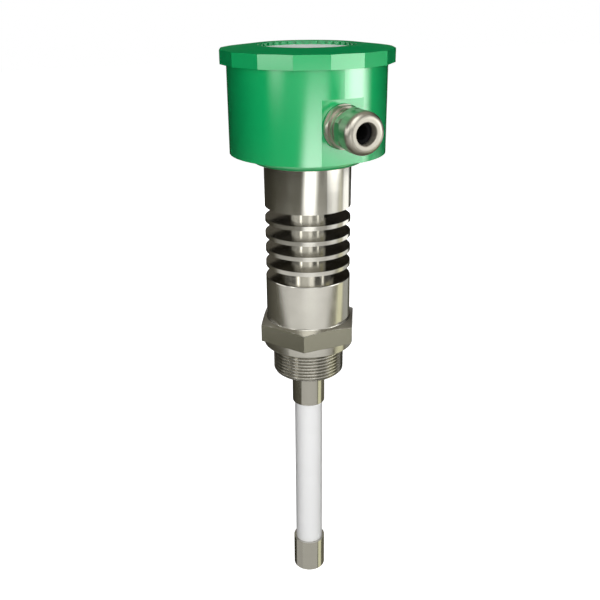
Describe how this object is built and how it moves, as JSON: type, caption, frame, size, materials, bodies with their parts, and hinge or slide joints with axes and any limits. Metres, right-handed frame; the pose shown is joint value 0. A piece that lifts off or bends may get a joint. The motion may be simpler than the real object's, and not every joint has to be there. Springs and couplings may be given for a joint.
{
  "type": "capacitive level gauge",
  "caption": "Capacitive point level gauge: round painted head with a screwed window cover and a cable gland, finned steel neck, hexagon fitting with pipe thread and an insulated rod probe.",
  "frame": {"origin": "Centre of the collar face that seals on the tank socket, on the axis of the probe, where the process thread starts.", "axes": "+Z runs along the axis from the fitting up to the head, and -Z down the probe into the tank. +X points out of the cable gland. The head is symmetric about the XZ plane."},
  "size_m": [0.1265, 0.104, 0.3841],
  "materials": {
    "green_paint": "semi-gloss enamel",
    "window_glass": "clear",
    "black_rubber": "matt",
    "plain_aluminium": "machined",
    "plated_brass": "nickel plated, satin",
    "turned_steel": "turned stainless steel",
    "white_plastic": "smooth fluoropolymer",
    "zinc_steel": "zinc plated",
    "bare_brass": "plain",
    "green_board": "solder mask",
    "white_plate": "satin",
    "clear_lens": "glossy",
    "grey_plastic": "moulded",
    "black_plastic": "moulded"
  },
  "bodies": {
    "head": {"cooling_neck": "turned_steel", "electrode_rod": "turned_steel", "front_plate": "white_plate", "gland_body": "plated_brass", "gland_seal": "black_rubber", "gland_washer": "black_rubber", "ground_screw": "bare_brass", "ground_washer": "bare_brass", "housing": "green_paint", "indicator_lenses": "clear_lens", "insulating_bush": "white_plastic", "lead_pin": "bare_brass", "lock_nut": "zinc_steel", "lower_pillars": "bare_brass", "main_board": "green_board", "neck_gasket": "black_rubber", "output_relay": "black_plastic", "plate_screws": "zinc_steel", "process_fitting": "turned_steel", "rod_jam_nut": "zinc_steel", "rod_nut": "zinc_steel", "rod_seal": "black_rubber", "rod_sleeve": "white_plastic", "rod_washer": "zinc_steel", "sensor_lead": "white_plastic", "shield_can": "zinc_steel", "terminal_block": "grey_plastic", "terminal_screws": "zinc_steel", "tip_cap": "turned_steel", "upper_ferrule": "turned_steel", "upper_pillars": "bare_brass"},
    "cover_seal": {"cover_seal": "black_rubber"},
    "cover": {"cover": "green_paint", "window_glass": "window_glass", "window_gasket": "black_rubber", "window_ring": "plain_aluminium"},
    "gland_slip_ring": {"gland_slip_ring": "plated_brass"},
    "gland_nut": {"gland_nut": "plated_brass"}
  },
  "joints": [
    {"name": "cover_lift", "type": "slide", "parent": "head", "child": "cover_seal", "axis": [0, 0, 1], "range_m": [0, 0.0121]},
    {"name": "cover_turn", "type": "hinge", "parent": "cover_seal", "child": "cover", "pos_m": [0, 0, 0.178], "axis": [0, 0, 1], "range_deg": [0, 2160]},
    {"name": "nut_travel", "type": "slide", "parent": "head", "child": "gland_slip_ring", "axis": [1, 0, 0], "range_m": [0, 0.0081]},
    {"name": "nut_turn", "type": "hinge", "parent": "gland_slip_ring", "child": "gland_nut", "pos_m": [0.064, 0, 0.152], "axis": [1, 0, 0], "range_deg": [0, 1920]}
  ],
  "couplings": [
    {"joint": "cover_lift", "follows": "cover_turn", "m_per_rad": 0.00031831},
    {"joint": "nut_travel", "follows": "nut_turn", "m_per_rad": 0.00023873}
  ]
}
